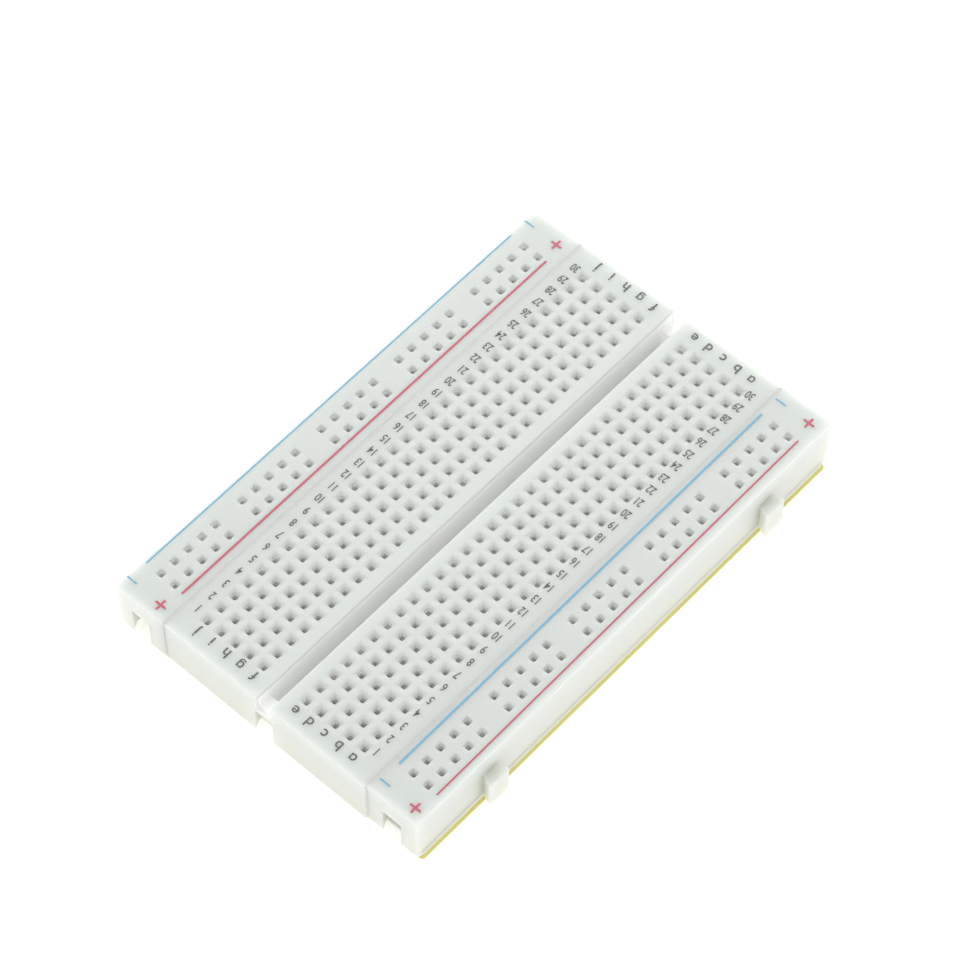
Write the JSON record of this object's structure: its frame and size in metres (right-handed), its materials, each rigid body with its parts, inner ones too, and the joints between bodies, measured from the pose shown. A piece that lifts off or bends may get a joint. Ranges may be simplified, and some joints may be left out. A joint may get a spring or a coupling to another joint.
{
  "type": "solderless breadboard",
  "caption": "Half-size solderless breadboard: a white terminal strip with a centre channel between two detachable power rails, spring clips under square holes, foam backing with a yellow liner.",
  "frame": {"origin": "middle of the bounding box's bottom face, on the surface that the board lies on", "axes": "+X along the numbered rows from 1 to 30, +Y along the columns from a to j, +Z out of the top face"},
  "size_m": [0.0846, 0.0552, 0.0095],
  "materials": {
    "white_plastic": "satin moulded plastic, slightly translucent",
    "spring_metal": "nickel-plated spring strip",
    "foam": "white closed-cell adhesive foam",
    "liner": "yellow waxed release paper",
    "print_dark": "dark grey printed legend",
    "print_red": "red printed line and plus sign",
    "print_blue": "blue printed line and minus sign"
  },
  "bodies": {
    "far_rail": {"power_rail_far": "white_plastic", "bus_clip_far_minus": "spring_metal", "bus_clip_far_plus": "spring_metal", "foam_pad_far": "foam", "liner_far": "liner"},
    "strip": {"terminal_strip": "white_plastic", "terminal_clips_row_01": "spring_metal", "terminal_clips_row_02": "spring_metal", "terminal_clips_row_03": "spring_metal", "terminal_clips_row_04": "spring_metal", "terminal_clips_row_05": "spring_metal", "terminal_clips_row_06": "spring_metal", "terminal_clips_row_07": "spring_metal", "terminal_clips_row_08": "spring_metal", "terminal_clips_row_09": "spring_metal", "terminal_clips_row_10": "spring_metal", "terminal_clips_row_11": "spring_metal", "terminal_clips_row_12": "spring_metal", "terminal_clips_row_13": "spring_metal", "terminal_clips_row_14": "spring_metal", "terminal_clips_row_15": "spring_metal", "terminal_clips_row_16": "spring_metal", "terminal_clips_row_17": "spring_metal", "terminal_clips_row_18": "spring_metal", "terminal_clips_row_19": "spring_metal", "terminal_clips_row_20": "spring_metal", "terminal_clips_row_21": "spring_metal", "terminal_clips_row_22": "spring_metal", "terminal_clips_row_23": "spring_metal", "terminal_clips_row_24": "spring_metal", "terminal_clips_row_25": "spring_metal", "terminal_clips_row_26": "spring_metal", "terminal_clips_row_27": "spring_metal", "terminal_clips_row_28": "spring_metal", "terminal_clips_row_29": "spring_metal", "terminal_clips_row_30": "spring_metal", "foam_pad_strip": "foam", "liner_strip": "liner"},
    "near_rail": {"power_rail_near": "white_plastic", "bus_clip_near_minus": "spring_metal", "bus_clip_near_plus": "spring_metal", "foam_pad_near": "foam", "liner_near": "liner"}
  },
  "joints": [
    {"name": "strip_lift", "type": "slide", "parent": "far_rail", "child": "strip", "axis": [0, 0, 1], "range_m": [0, 0.01]},
    {"name": "near_rail_lift", "type": "slide", "parent": "strip", "child": "near_rail", "axis": [0, 0, 1], "range_m": [0, 0.01]}
  ]
}
